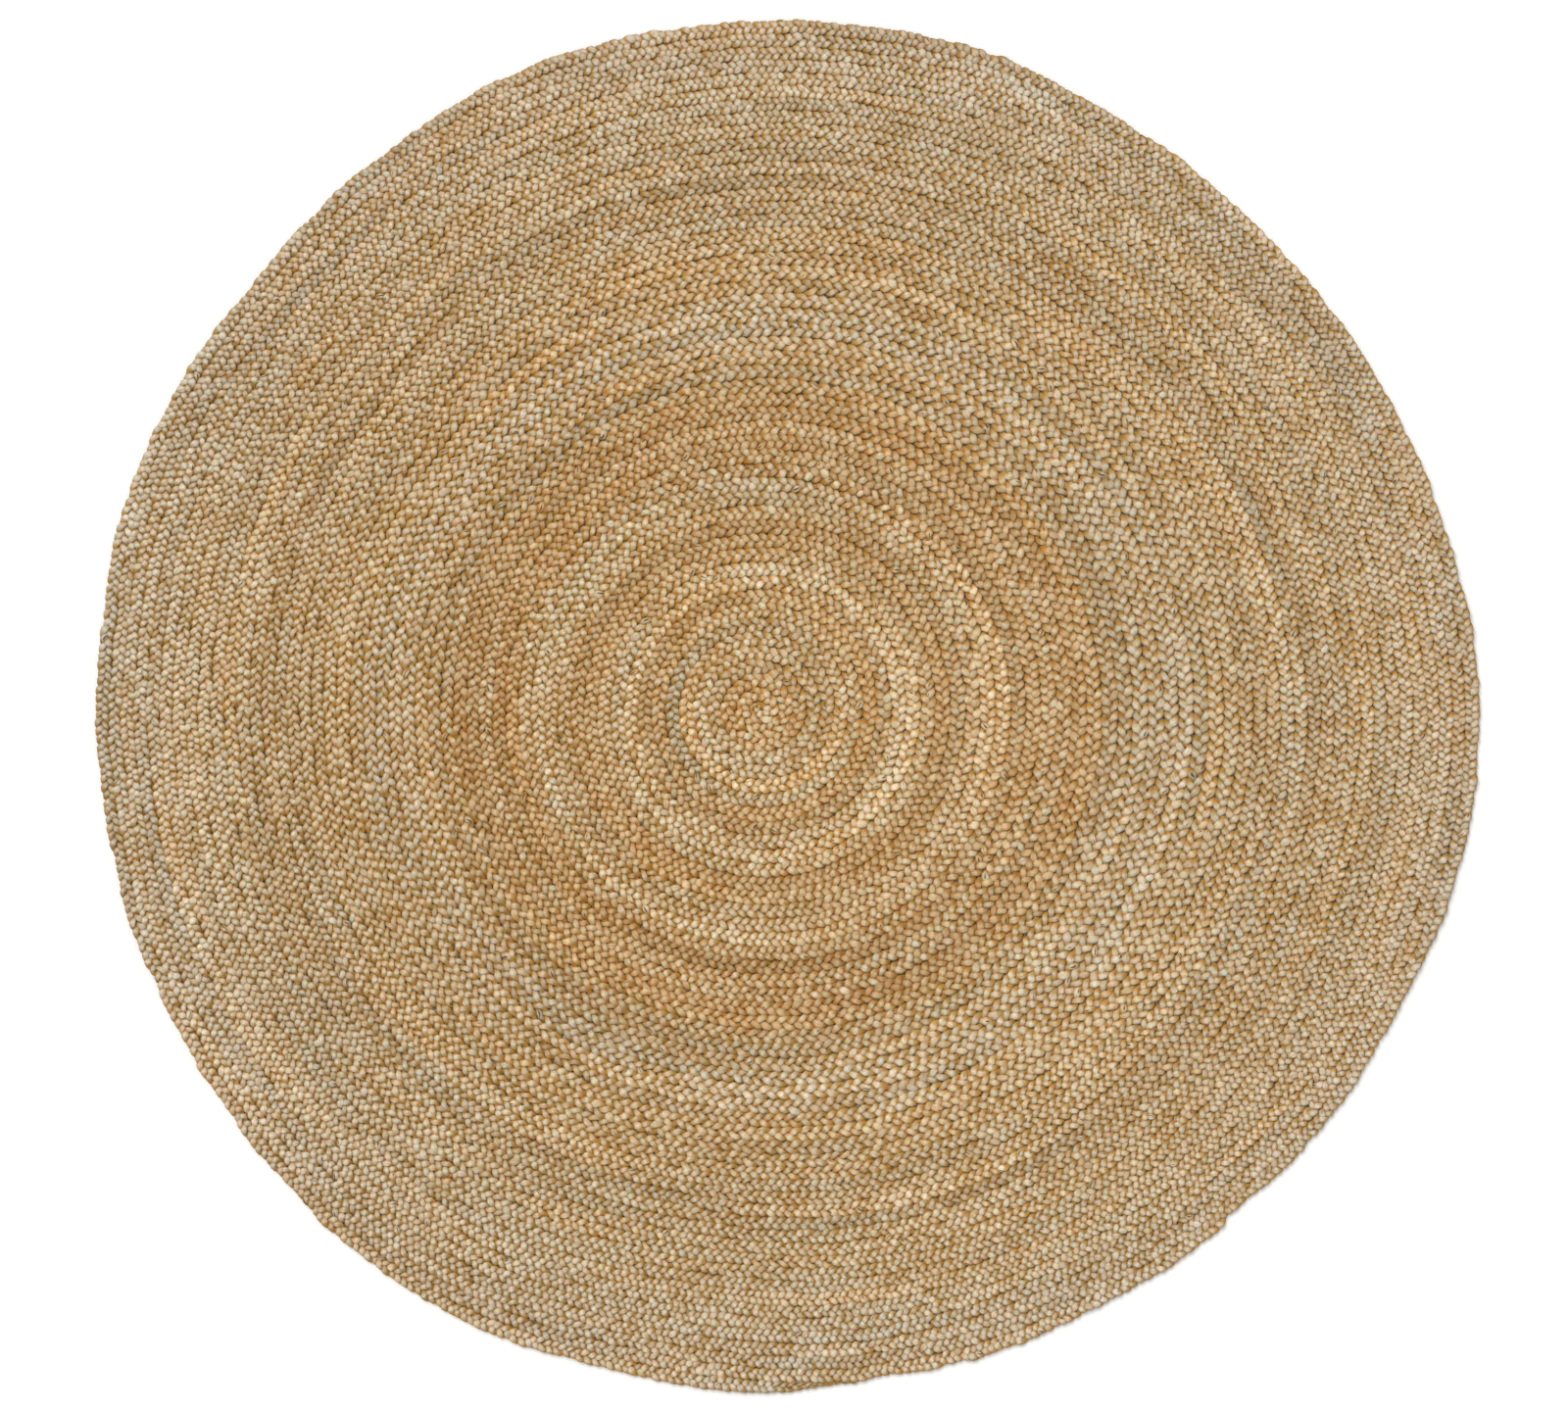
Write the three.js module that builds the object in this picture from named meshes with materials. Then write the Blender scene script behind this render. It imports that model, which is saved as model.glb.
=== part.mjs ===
// Round area rug of plaited jute. One flat plait is wound into a spiral from the eye outwards,
// its turns are sewn edge to edge with a thread sunk in the joints, and its tail is thinned
// down and sewn against the last turn. The plait is made of several lengths of different jute.
// Millimetres, +Z up, lying on z = 0, with the origin under the middle of the rug's box.
import * as THREE from 'three';

// Overall size
const RUG_RADIUS = 914;
const PLAIT_THICKNESS = 9;

// The plait: a coarse one in the middle, and a finer one from BORDER_RADIUS to the edge
const CORE_PLAIT_WIDTH = 18.7;
const BORDER_PLAIT_WIDTH = 17;
const BORDER_RADIUS = 600;
const CROWN_INSET = 1.4; // how far each upper edge is rounded in from the plait's full width

// The eye: the plait starts thin, turned round a pinhole
const EYE_HOLE_RADIUS = 1.5;
const START_TURN = -0.75; // counted from where the plait first has its full width

// The tail
const TAIL_ANGLE = THREE.MathUtils.degToRad(276);
const TAIL_TAPER = 150; // the length over which the tail is thinned
const TAIL_TIP_WIDTH = 4;
const TAIL_SECTIONS = 6;

// The sewing thread, which zigzags in the joint between two turns
const THREAD_SINK = 1.8; // depth of its upper side under the top of the plait
const THREAD_FOOT = 4; // height of its lower edge above the floor
const THREAD_START_TURN = 1;
const THREAD_COUNT = 4;

// Clearance between sewn pieces
const GAP = 0.3;

// The winding: turns creep off the eye as the rug grows, and its edge waves in and out
const CREEP = 34;
const CREEP_ANGLE = THREE.MathUtils.degToRad(3);
const CREEP_FROM = 100;
const CREEP_TO = 760;
const EDGE_WAVES = [
  { lobes: 2, rise: 4, crest: -18 },
  { lobes: 3, rise: 5.5, crest: -16 },
  { lobes: 4, rise: 4, crest: -4 },
];
const FACETS_PER_TURN = 24;

// Jute tones, and the tone of each length of plait in order from the eye
const TONES = {
  pale: '#cfb78b',
  straw: '#c3a371',
  gold: '#b88d54',
  honey: '#ad7f45',
  ash: '#c4ae88',
};
const TONE_ORDER = [
  'straw', 'gold', 'pale', 'honey', 'pale', 'gold', 'straw', 'gold', 'straw', 'honey',
  'gold', 'straw', 'pale', 'straw', 'gold', 'straw', 'ash', 'straw', 'ash', 'ash',
];
const JUTE_ROUGHNESS = 0.9;
const THREAD_COLOUR = '#9c8f78';

// Derived sizes
const FULL_TURN = Math.PI * 2;
const CORE_TURNS = BORDER_RADIUS / CORE_PLAIT_WIDTH;
const OUTER_RADIUS = RUG_RADIUS + BORDER_PLAIT_WIDTH / 2;
const LAST_JOINT = CORE_TURNS + (OUTER_RADIUS - BORDER_RADIUS) / BORDER_PLAIT_WIDTH;
const END_TURN = LAST_JOINT - 1;
const STEPS = Math.floor((END_TURN - START_TURN) * FACETS_PER_TURN);
const FACET_ANGLE = FULL_TURN / FACETS_PER_TURN;
const CORNER_SWELL = Math.sqrt(FACET_ANGLE / Math.sin(FACET_ANGLE)); // keeps a round turn's area

// Turn count at a step. Steps are counted back from the tail, so that all turns share facets.
function turnAt(step) {
  return END_TURN - (STEPS - step) / FACETS_PER_TURN;
}

// Mean radius of the joint line at a turn count, before creep and waves.
function windingRadius(turn) {
  if (turn <= CORE_TURNS) return Math.max(turn * CORE_PLAIT_WIDTH, EYE_HOLE_RADIUS);
  return BORDER_RADIUS + (turn - CORE_TURNS) * BORDER_PLAIT_WIDTH;
}

// Point on the joint line between two neighbouring turns, on the floor.
function jointPoint(turn) {
  const angle = TAIL_ANGLE + (turn - LAST_JOINT) * FULL_TURN;
  const mean = windingRadius(turn);
  const share = mean / RUG_RADIUS;
  let radius = mean;
  for (const wave of EDGE_WAVES) {
    const crest = THREE.MathUtils.degToRad(wave.crest);
    radius += wave.rise * share ** 2 * Math.cos(wave.lobes * (angle - crest));
  }
  const creep = CREEP * THREE.MathUtils.smoothstep(mean, CREEP_FROM, CREEP_TO);
  return new THREE.Vector3(
    creep * Math.cos(CREEP_ANGLE) + radius * CORNER_SWELL * Math.cos(angle),
    creep * Math.sin(CREEP_ANGLE) + radius * CORNER_SWELL * Math.sin(angle),
    0,
  );
}

// Four corners of the plait between its inner and its outer edge: wide foot, narrower crown.
function plaitCorners(inner, outer) {
  const across = outer.clone().sub(inner);
  const width = across.length();
  across.normalize();
  const inset = Math.min(CROWN_INSET, width / 4);
  const innerFoot = inner.clone().addScaledVector(across, GAP / 2);
  const outerFoot = outer.clone().addScaledVector(across, -GAP / 2);
  const outerCrown = outerFoot.clone().addScaledVector(across, -inset).setZ(PLAIT_THICKNESS);
  const innerCrown = innerFoot.clone().addScaledVector(across, inset).setZ(PLAIT_THICKNESS);
  return [innerFoot, outerFoot, outerCrown, innerCrown];
}

function plaitSection(step) {
  const turn = turnAt(step);
  return plaitCorners(jointPoint(turn), jointPoint(turn + 1));
}

// Half the width left between two crowns at a height.
function grooveHalfWidth(height) {
  return GAP / 2 + (CROWN_INSET * height) / PLAIT_THICKNESS;
}

// Three corners of the thread in the groove at a joint: a flat top and a lower edge.
function threadSection(step) {
  const turn = turnAt(step);
  const top = PLAIT_THICKNESS - THREAD_SINK;
  const halfWidth = grooveHalfWidth(top) - GAP;
  const seat = jointPoint(turn);
  const across = jointPoint(turn + 1).sub(jointPoint(turn - 1)).normalize();
  const foot = seat.clone().setZ(THREAD_FOOT);
  const outer = seat.clone().addScaledVector(across, halfWidth).setZ(top);
  const inner = seat.clone().addScaledVector(across, -halfWidth).setZ(top);
  return [foot, outer, inner];
}

// A section moved towards the next one by a distance, which keeps it on the same facets.
function slid(section, next, distance) {
  const share = distance / section[0].distanceTo(next[0]);
  return section.map((corner, i) => corner.clone().lerp(next[i], share));
}

// Sections from one step to another, drawn back at both ends so that neighbours keep the gap.
function run(sectionAt, from, to) {
  const sections = [];
  for (let step = from; step <= to; step++) sections.push(sectionAt(step));
  const count = sections.length;
  const first = slid(sections[0], sections[1], GAP / 2);
  const last = slid(sections[count - 1], sections[count - 2], GAP / 2);
  return [first, ...sections.slice(1, -1), last];
}

// Closed solid through a row of sections, each listed anticlockwise as seen along the run.
function loft(sections) {
  const sides = sections[0].length;
  const index = [];
  for (let k = 0; k < sections.length - 1; k++) {
    for (let i = 0; i < sides; i++) {
      const here = k * sides + i;
      const beside = k * sides + ((i + 1) % sides);
      index.push(here, beside + sides, beside, here, here + sides, beside + sides);
    }
  }
  const end = (sections.length - 1) * sides;
  for (let i = 1; i < sides - 1; i++) {
    index.push(0, i, i + 1);
    index.push(end, end + i + 1, end + i);
  }
  const geometry = new THREE.BufferGeometry().setFromPoints(sections.flat());
  geometry.setIndex(index);
  geometry.computeVertexNormals();
  return geometry;
}

function numbered(name, index) {
  return `${name}_${String(index + 1).padStart(2, '0')}`;
}

function soft(name, sections, color) {
  const material = new THREE.MeshStandardMaterial({ color, roughness: JUTE_ROUGHNESS, metalness: 0 });
  const mesh = new THREE.Mesh(loft(sections), material);
  mesh.name = name;
  return mesh;
}

// Runs of steps that share a stretch evenly between a number of pieces.
function shared(from, to, count) {
  const ends = [];
  for (let i = 0; i <= count; i++) ends.push(Math.round(from + ((to - from) * i) / count));
  return ends.slice(1).map((end, i) => ({ start: ends[i], end }));
}

// The lengths of plait, one for each tone in turn, up to the last facet, which is the tail.
function plaitLengths() {
  return shared(0, STEPS - 1, TONE_ORDER.length).map(({ start, end }, i) =>
    soft(numbered('plait_length', i), run(plaitSection, start, end), TONES[TONE_ORDER[i]]));
}

// The last facet of the plait, whose outer side curves in to the tip.
function tail() {
  const before = plaitSection(STEPS - 1);
  const after = plaitSection(STEPS);
  const reach = before[0].distanceTo(after[0]);
  const sections = [];
  for (let i = 0; i <= TAIL_SECTIONS; i++) {
    const share = i / TAIL_SECTIONS;
    const inner = before[0].clone().lerp(after[0], share);
    const outer = jointPoint(turnAt(STEPS - 1 + share) + 1);
    const width = inner.distanceTo(outer);
    const thinned = THREE.MathUtils.smoothstep(share * reach, reach - TAIL_TAPER, reach);
    outer.lerp(inner, thinned * (1 - TAIL_TIP_WIDTH / width));
    const across = outer.clone().sub(inner).normalize();
    sections.push(plaitCorners(inner.clone().addScaledVector(across, -GAP / 2), outer));
  }
  sections[0] = slid(sections[0], sections[1], GAP / 2);
  return soft('tail', sections, TONES.ash);
}

// The sewing thread, in lengths that follow each other along the joint.
function threads() {
  const first = Math.ceil((THREAD_START_TURN - START_TURN) * FACETS_PER_TURN);
  return shared(first, STEPS, THREAD_COUNT).map(({ start, end }, i) =>
    soft(numbered('sewing_thread', i), run(threadSection, start, end), THREAD_COLOUR));
}

const rug = new THREE.Group();
rug.name = 'area_rug';
rug.add(...plaitLengths(), tail(), ...threads());

const middle = new THREE.Box3().setFromObject(rug).getCenter(new THREE.Vector3());
rug.position.set(-middle.x, -middle.y, 0);
rug.updateMatrixWorld(true);

export default rug;
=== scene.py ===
"""Round area rug of plaited jute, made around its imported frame.

One flat plait of three jute strands is wound into a spiral from the eye outwards and sewn
edge to edge with a thread sunk in the joints. Everything is in metres, in the frame's own
coordinates: +Z is up and the rug lies on z = 0.
"""

import math

import bpy
import numpy as np
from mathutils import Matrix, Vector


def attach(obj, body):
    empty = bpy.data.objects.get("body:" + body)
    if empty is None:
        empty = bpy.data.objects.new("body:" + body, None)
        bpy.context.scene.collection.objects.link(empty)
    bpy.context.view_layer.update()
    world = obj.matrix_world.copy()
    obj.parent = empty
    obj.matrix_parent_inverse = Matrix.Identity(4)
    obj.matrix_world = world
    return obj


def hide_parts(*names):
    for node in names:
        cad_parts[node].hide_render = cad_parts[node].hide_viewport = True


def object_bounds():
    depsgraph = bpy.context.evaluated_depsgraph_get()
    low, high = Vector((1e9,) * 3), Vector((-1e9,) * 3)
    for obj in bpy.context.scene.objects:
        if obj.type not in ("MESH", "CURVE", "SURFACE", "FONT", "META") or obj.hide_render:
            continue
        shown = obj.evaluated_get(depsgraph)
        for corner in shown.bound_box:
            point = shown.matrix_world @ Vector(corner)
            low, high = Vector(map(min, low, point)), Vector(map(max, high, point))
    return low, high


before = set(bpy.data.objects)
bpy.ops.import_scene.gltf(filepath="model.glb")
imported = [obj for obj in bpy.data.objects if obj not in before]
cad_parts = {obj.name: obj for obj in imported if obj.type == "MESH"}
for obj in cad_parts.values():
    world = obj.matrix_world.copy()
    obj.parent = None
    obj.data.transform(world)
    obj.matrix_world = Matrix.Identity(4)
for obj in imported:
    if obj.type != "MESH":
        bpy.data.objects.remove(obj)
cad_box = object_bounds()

bl_info = {
    "name": "Plaited Jute Rug",
    "version": (1, 0, 0),
    "blender": (4, 5, 0),
    "location": "3D View > Sidebar > Rug",
    "description": "Makes a round rug from one long jute plait, wound in a spiral and sewn",
    "category": "Object",
}

FULL_TURN = 2 * math.pi
PALE_FLOOR = (0.93, 0.93, 0.925)

# The winding, as the frame has it
FACETS_PER_TURN = 24
START_TURN = -0.75
EYE_HOLE_RADIUS = 0.0015
CREEP = 0.034
CREEP_ANGLE = math.radians(3)
CREEP_FROM, CREEP_TO = 0.1, 0.76
# Waves round the edge: how many, how far they stand out, and the angle of the first crest.
# The frame has the first three, and the finer ones and the kink are added here.
EDGE_WAVES = (
    (2, 0.004, -18),
    (3, 0.0055, -16),
    (4, 0.004, -4),
    (5, 0.0021, 12),
    (6, 0.0027, -6),
    (9, 0.0022, -3),
)
# The kink, where the last turns step in towards the eye and come back out over some way
KINK_ANGLE = math.radians(309.8)
KINK_DEPTH = 0.0085
KINK_STEP = math.radians(1.6)
KINK_LENGTH = math.radians(10)
KINK_FADE = 12
TAIL_TAPER = 0.15
TAIL_TIP_WIDTH = 0.004
THREAD_START_TURN = 1
THREAD_COUNT = 4
GAP = 0.0003

# Slot of each length of plait in order from the eye
LENGTH_TONES = (
    "straw gold pale honey pale gold straw gold straw honey "
    "gold straw pale straw gold straw ash straw ash ash"
).split()

# Where bundles of other jute were worked into the plait: the turn, and the tone from there on
SPLICES = (
    (-0.75, "straw"), (0.8, "gold"), (1.3, "straw"), (1.65, "honey"), (2.1, "gold"),
    (2.6, "straw"), (3.1, "pale"), (3.6, "straw"), (4.1, "pale"), (4.65, "gold"),
    (5.2, "straw"), (5.5, "pale"), (6.2, "straw"), (6.5, "gold"), (7.9, "honey"),
    (8.35, "gold"), (8.65, "pale"), (10.3, "straw"), (11.0, "gold"), (11.9, "honey"),
    (12.9, "gold"), (13.6, "straw"), (14.4, "gold"), (14.6, "straw"), (15.6, "pale"),
    (16.4, "honey"), (17.0, "straw"), (17.35, "gold"), (17.6, "honey"), (19.0, "gold"),
    (19.3, "straw"), (20.0, "honey"), (22.0, "gold"), (22.6, "straw"), (23.0, "dun"),
    (24.4, "straw"), (25.3, "ash"), (26.0, "pale_ash"), (27.8, "ash"), (28.3, "pale_ash"),
    (28.8, "ash"), (29.0, "straw"), (32.0, "ash"), (32.3, "straw"), (34.0, "ash"),
    (34.6, "straw"), (35.2, "pale_ash"), (35.9, "dun"), (36.4, "ash"), (36.7, "dun"),
    (38.0, "ash"), (39.3, "straw"), (40.0, "ash"), (43.8, "pale_ash"), (46.0, "chalk"),
)
SPLICE_STAGGER = (-0.4, 0.0, 0.35)  # turns by which each strand's bundles change early or late
WARMER = np.array([0.5, -0.3, -1.3])  # what a warmer strand has more of in red, green, blue
SPLICE_BLEND = 0.05  # turns over which one tone gives way to the next

# Distance between neighbouring lobes of the plait at a distance from the eye
LOBE_PITCH = (
    (0.0, 0.0115),
    (0.05, 0.0121),
    (0.37, 0.0122),
    (0.42, 0.0144),
    (0.58, 0.0142),
    (0.64, 0.0123),
    (0.74, 0.0121),
    (0.79, 0.0107),
)
PITCH_SPREAD = 0.09  # how much the distance between lobes varies along the plait
STRANDS = 3
STEPS_PER_LAY = 12  # steps along a strand while it goes across and back
STRAND_SIDES = 6
FLAT_SIDES_GIRTH = 0.96  # how far round six flat sides reach beside an oval
UNDER_PHASE = math.radians(135)  # where in its lay a strand passes under the others

# Path of a strand: how flat its turns at the plait's edges and its crests are, how high it runs
# there, and its width in the plait's middle and at its edges
TURN_FLATNESS = 0.1
CREST_GAIN, CREST_FLATNESS = 1.15, 0.3
MEAN_EDGE = 0.45
MIDDLE_SWELL, EDGE_SWELL = 0.93, 0.2

# How far lobes and strands differ from each other where the unevenness is 1
LOBE_HEIGHT_SPREAD = 0.38
LOBE_WIDTH_SPREAD = 0.36
LOBE_TILT_SPREAD = 0.7
LOBE_DRIFT = 0.0047
STRAND_SLIP = 0.0015
STRAND_WIDTH_SPREAD = 0.12

# The sewing thread's way from side to side and up and down, and the loose fibres' points
THREAD_SWAY, THREAD_DIP = 0.0009, 0.0005
FIBRE_POINTS = 6
FIBRE_TONE = (0.62, 0.47, 0.28, 1.0)

BAKE_ROW_SPARE, BAKE_INDENT = 0.012, 0.003  # room at the end and the start of a row for baking
STRAND_MARGIN = 0.004  # left between two strands where they are laid flat, one after another

# Where the random draws start
LENGTH_SEED, TAIL_SEED, FIBRE_SEED = 100, 300, 44

# The room: a soft sky, a soft sun and a camera straight above
SKY_STRENGTH = 0.64
SUN_STRENGTH = 2.05
SUN_TONE = (1.0, 0.985, 0.96)
CAMERA_PLACE = (-0.0046, 0.0026, 6.0)
VIEW_WIDTH = 2.096
FLOOR_REACH = 12.0


def length(name, text, default):
    """A length that a user can change."""
    return bpy.props.FloatProperty(
        name=name, description=text, default=default, min=0.0, precision=5, unit="LENGTH"
    )


def share(name, text, default):
    """A share that a user can change."""
    return bpy.props.FloatProperty(
        name=name, description=text, default=default, min=0.0, precision=3, subtype="FACTOR"
    )


def tone(name, text, red, green, blue):
    """A jute colour that a user can change, given as it is seen on a screen."""
    return bpy.props.FloatVectorProperty(
        name=name,
        description=text,
        subtype="COLOR",
        size=3,
        min=0.0,
        max=1.0,
        default=[linear(c / 255) for c in (red, green, blue)],
    )


def linear(screen):
    """Light value of a screen value."""
    return screen / 12.92 if screen <= 0.04045 else ((screen + 0.055) / 1.055) ** 2.4


class RugSizes(bpy.types.PropertyGroup):
    """Sizes of the rug and of its plait."""

    rug_radius: length("Rug radius", "Mean radius of the edge", 0.914)
    thickness: length(
        "Plait thickness", "Height of the plait", cad_box[1].z - cad_box[0].z
    )
    core_width: length("Core plait width", "Plait width in the middle", 0.0187)
    border_width: length("Border plait width", "Plait width near the edge", 0.017)
    border_radius: length("Border radius", "Where the finer plait starts", 0.6)
    tail_angle: bpy.props.FloatProperty(
        name="Tail angle",
        description="Where the plait ends",
        default=math.radians(276),
        subtype="ANGLE",
    )
    strand_width: share("Strand width", "Strand width over half the plait's width", 0.97)
    strand_thickness: share(
        "Strand thickness", "Strand thickness over the plait's thickness", 0.5
    )
    swing: share("Swing", "How far strands swing out, over half the plait's width", 0.72)
    edge_height: share("Edge height", "How far strands stay up at the plait's edges", 0.55)
    bulge: share("Bulge", "How much a strand swells between crossings", 0.14)
    unevenness: share("Unevenness", "How much lobes differ from each other", 1.0)
    edge_wobble: length("Edge wobble", "How far turns wander near the edge", 0.0018)
    edge_lift: length("Edge lift", "How far the rug's edge rises off the floor", 0.0025)
    thread_diameter: length("Thread diameter", "Diameter of the sewing thread", 0.0014)
    stitch: length("Stitch", "Length of one stitch there and back", 0.024)
    fibre_diameter: length("Fibre diameter", "Diameter of a stray fibre", 0.00022)
    fibre_count: bpy.props.IntProperty(
        name="Stray fibres", description="Number of loose fibres", default=1500, min=0
    )


class RugTones(bpy.types.PropertyGroup):
    """Colours of the jute and the thread."""

    straw: tone("Straw", "Middling jute", 207, 191, 163)
    gold: tone("Gold", "Golden jute", 205, 183, 147)
    pale: tone("Pale", "Pale jute", 217, 203, 176)
    honey: tone("Honey", "Dark golden jute", 199, 174, 137)
    ash: tone("Ash", "Greyer jute", 205, 193, 171)
    dun: tone("Dun", "Dull jute", 197, 182, 156)
    pale_ash: tone("Pale ash", "Pale greyish jute", 208, 197, 177)
    chalk: tone("Chalk", "Palest jute of the edge", 204, 194, 177)
    thread: tone("Thread", "Sewing thread", 160, 132, 92)


# ---------------------------------------------------------------- node trees


class Value:
    """A number socket in a node tree. Python's operators on it add Math nodes."""

    def __init__(self, nodes, socket):
        self.nodes = nodes
        self.socket = socket

    def math(self, operation, *others, first=None):
        sockets = dict(enumerate((self if first is None else first, *others)))
        if first is not None:
            sockets[len(sockets)] = self
        return self.nodes.add("ShaderNodeMath", {"operation": operation}, sockets)

    def __add__(self, other):
        return self.math("ADD", other)

    def __sub__(self, other):
        return self.math("SUBTRACT", other)

    def __mul__(self, other):
        return self.math("MULTIPLY", other)

    def __truediv__(self, other):
        return self.math("DIVIDE", other)

    def __radd__(self, other):
        return self.math("ADD", first=other)

    def __rsub__(self, other):
        return self.math("SUBTRACT", first=other)

    def __rmul__(self, other):
        return self.math("MULTIPLY", first=other)

    def over(self, low, high):
        """0 below low and 1 above high, with a smooth step between them."""
        return self.nodes.add(
            "ShaderNodeMapRange",
            {"interpolation_type": "SMOOTHSTEP"},
            {"Value": self, "From Min": low, "From Max": high},
        )


class Nodes:
    """Adds nodes to a tree."""

    def __init__(self, tree):
        self.tree = tree

    def add(self, kind, settings=None, sockets=None, output=0):
        """Adds a node with its settings, then its sockets' values or links."""
        node = self.tree.nodes.new(kind)
        for name, value in (settings or {}).items():
            setattr(node, name, value)
        for name, value in (sockets or {}).items():
            self.plug(value, self.find(node.inputs, name))
        return Value(self, self.find(node.outputs, output))

    @staticmethod
    def find(sockets, name):
        if isinstance(name, int):
            return sockets[name]
        return next((s for s in sockets if s.identifier == name), None) or sockets[name]

    def plug(self, value, socket):
        if isinstance(value, Value):
            self.tree.links.new(value.socket, socket)
        else:
            socket.default_value = value

    def colour_mix(self, factor, first, second, blend="MIX"):
        """First where the factor is 0 and second where it is 1."""
        return self.add(
            "ShaderNodeMix",
            {"data_type": "RGBA", "blend_type": blend},
            {"Factor_Float": factor, "A_Color": first, "B_Color": second},
            "Result_Color",
        )

    def vector(self, x, y, z):
        return self.add("ShaderNodeCombineXYZ", None, {"X": x, "Y": y, "Z": z})

    def scaled(self, vector, factor):
        settings = {"operation": "SCALE"}
        return self.add("ShaderNodeVectorMath", settings, {"Vector": vector, "Scale": factor})

    def vector_sum(self, first, second):
        settings = {"operation": "ADD"}
        return self.add("ShaderNodeVectorMath", settings, {0: first, 1: second})


class GeometryTree(Nodes):
    """A Geometry Nodes tree with named inputs."""

    def __init__(self, name, inputs):
        super().__init__(bpy.data.node_groups.new(name, "GeometryNodeTree"))
        interface = self.tree.interface
        interface.new_socket("Geometry", in_out="INPUT", socket_type="NodeSocketGeometry")
        self.identifiers = {}
        for label, kind in inputs.items():
            socket = interface.new_socket(label, in_out="INPUT", socket_type=kind)
            self.identifiers[label] = socket.identifier
        interface.new_socket("Geometry", in_out="OUTPUT", socket_type="NodeSocketGeometry")
        self.entry = self.tree.nodes.new("NodeGroupInput")

    def given(self, label):
        return Value(self, self.entry.outputs[label])

    def stored(self, name, kind="FLOAT"):
        """A named attribute of the geometry."""
        return self.add("GeometryNodeInputNamedAttribute", {"data_type": kind}, {"Name": name})

    def store(self, geometry, name, value, kind="FLOAT"):
        """Keeps a value on the points under a name."""
        return self.add(
            "GeometryNodeStoreNamedAttribute",
            {"data_type": kind, "domain": "POINT"},
            {"Geometry": geometry, "Name": name, "Value": value},
        )

    def tube(self, curve, sides, width, thickness, scale):
        """Tube with closed ends along a curve, its section flat side up."""
        ring = self.add(
            "GeometryNodeCurvePrimitiveCircle",
            {"mode": "RADIUS"},
            {"Resolution": sides, "Radius": 0.5},
        )
        index = self.add("GeometryNodeInputIndex")
        ring = self.store(ring, "around", index / sides)
        profile = self.add(
            "GeometryNodeTransform",
            None,
            {"Geometry": ring, "Scale": self.vector(width, thickness, 1.0)},
        )
        upright = self.add("GeometryNodeSetCurveNormal", {"mode": "Z_UP"}, {"Curve": curve})
        return self.add(
            "GeometryNodeCurveToMesh",
            None,
            {"Curve": upright, "Profile Curve": profile, "Scale": scale, "Fill Caps": True},
        )

    def finish(self, geometry, material):
        """Smooth shading, real geometry and a material at the end of the tree."""
        smooth = self.add("GeometryNodeSetShadeSmooth", None, {"Geometry": geometry})
        real = self.add("GeometryNodeRealizeInstances", None, {"Geometry": smooth})
        clothed = self.add(
            "GeometryNodeSetMaterial", None, {"Geometry": real, "Material": material}
        )
        self.plug(clothed, self.tree.nodes.new("NodeGroupOutput").inputs[0])


FLOAT, WHOLE, MATERIAL = "NodeSocketFloat", "NodeSocketInt", "NodeSocketMaterial"


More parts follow.
